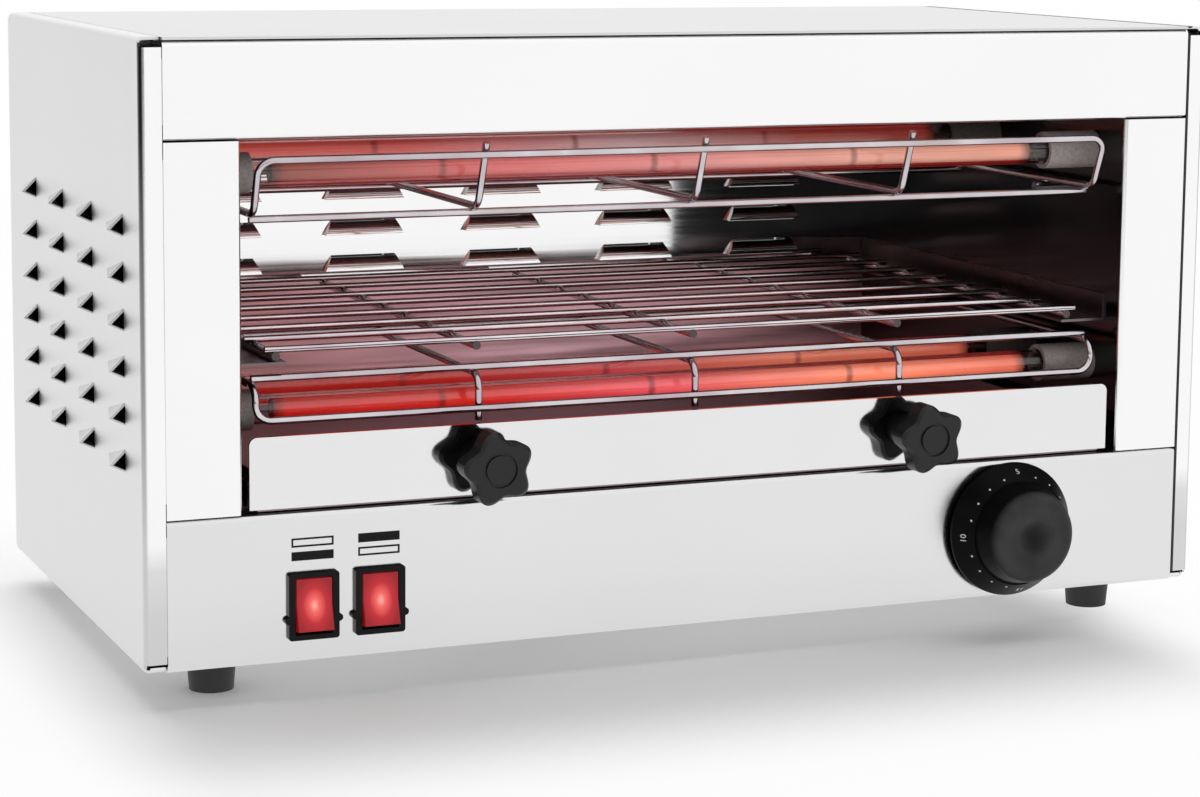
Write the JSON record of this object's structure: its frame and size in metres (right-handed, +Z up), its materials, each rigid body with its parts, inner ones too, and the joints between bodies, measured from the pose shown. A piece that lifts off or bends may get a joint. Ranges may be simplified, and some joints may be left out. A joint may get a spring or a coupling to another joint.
{
  "type": "horizontal toaster",
  "caption": "Open-front stainless bar toaster with glowing quartz tubes above and below a sliding wire grid, a crumb tray with star knobs, rocker switches and a clockwork timer knob.",
  "frame": {"origin": "on the table, midway under the whole object's box", "axes": "+Z up, the open front faces -Y, +X to the right as seen from the front"},
  "size_m": [0.4516, 0.262, 0.242],
  "materials": {
    "stainless": "bright polished sheet",
    "wire": "bright plated wire",
    "quartz": "clear quartz",
    "element": "glowing orange red",
    "ceramic": "white ceramic",
    "brass": "plain strip",
    "black_plastic": "satin black",
    "switch_black": "gloss black",
    "rocker_red": "translucent red",
    "cream_plastic": "matte cream",
    "zinc": "zinc plated",
    "rubber": "matte black"
  },
  "bodies": {
    "case": {"side_panel_left": "stainless", "side_panel_right": "stainless", "top_cover": "stainless", "upper_fascia": "stainless", "control_panel": "stainless", "base_plate": "stainless", "back_panel": "stainless", "chamber_wall_left": "stainless", "chamber_wall_right": "stainless", "chamber_ceiling": "stainless", "chamber_deck": "stainless", "tray_runner_left": "stainless", "tray_runner_right": "stainless", "grid_rail_left": "stainless", "grid_rail_right": "stainless", "guard_pins": "wire", "upper_guard": "wire", "lower_guard": "wire", "quartz_tube_upper_front": "quartz", "quartz_tube_upper_rear": "quartz", "quartz_tube_lower_front": "quartz", "quartz_tube_lower_rear": "quartz", "heating_coil_upper_front": "element", "heating_coil_upper_rear": "element", "heating_coil_lower_front": "element", "heating_coil_lower_rear": "element", "tube_caps_upper_front": "ceramic", "tube_caps_upper_rear": "ceramic", "tube_caps_lower_front": "ceramic", "tube_caps_lower_rear": "ceramic", "link_upper_left": "brass", "link_upper_right": "brass", "link_lower_left": "brass", "link_lower_right": "brass", "timer_body": "black_plastic", "timer_screws": "zinc", "switch_left": "switch_black", "switch_right": "switch_black", "terminal_block": "cream_plastic", "cable_gland": "black_plastic", "gland_nut": "black_plastic", "foot_front_left": "rubber", "foot_front_right": "rubber", "foot_rear_left": "rubber", "foot_rear_right": "rubber", "foot_screws": "zinc", "back_screws": "zinc"},
    "tray": {"crumb_tray": "stainless", "tray_fascia": "stainless", "tray_knob_left": "black_plastic", "tray_knob_right": "black_plastic", "knob_studs": "zinc"},
    "grid": {"food_grid": "wire"},
    "timer": {"timer_shaft": "zinc", "timer_knob": "black_plastic"},
    "left_rocker": {"rocker_left": "rocker_red"},
    "right_rocker": {"rocker_right": "rocker_red"}
  },
  "joints": [
    {"name": "tray_slide", "type": "slide", "parent": "case", "child": "tray", "axis": [0, -1, 0], "range_m": [0, 0.19]},
    {"name": "grid_slide", "type": "slide", "parent": "case", "child": "grid", "axis": [0, -1, 0], "range_m": [0, 0.15]},
    {"name": "timer_turn", "type": "hinge", "parent": "case", "child": "timer", "pos_m": [0.133, -0.108, 0.042], "axis": [0, 1, 0], "range_deg": [-100, 200]},
    {"name": "left_rocker_tip", "type": "hinge", "parent": "case", "child": "left_rocker", "pos_m": [-0.1576, -0.107, 0.0348], "axis": [1, 0, 0], "range_deg": [0, 18]},
    {"name": "right_rocker_tip", "type": "hinge", "parent": "case", "child": "right_rocker", "pos_m": [-0.1322, -0.107, 0.0348], "axis": [1, 0, 0], "range_deg": [0, 18]}
  ]
}
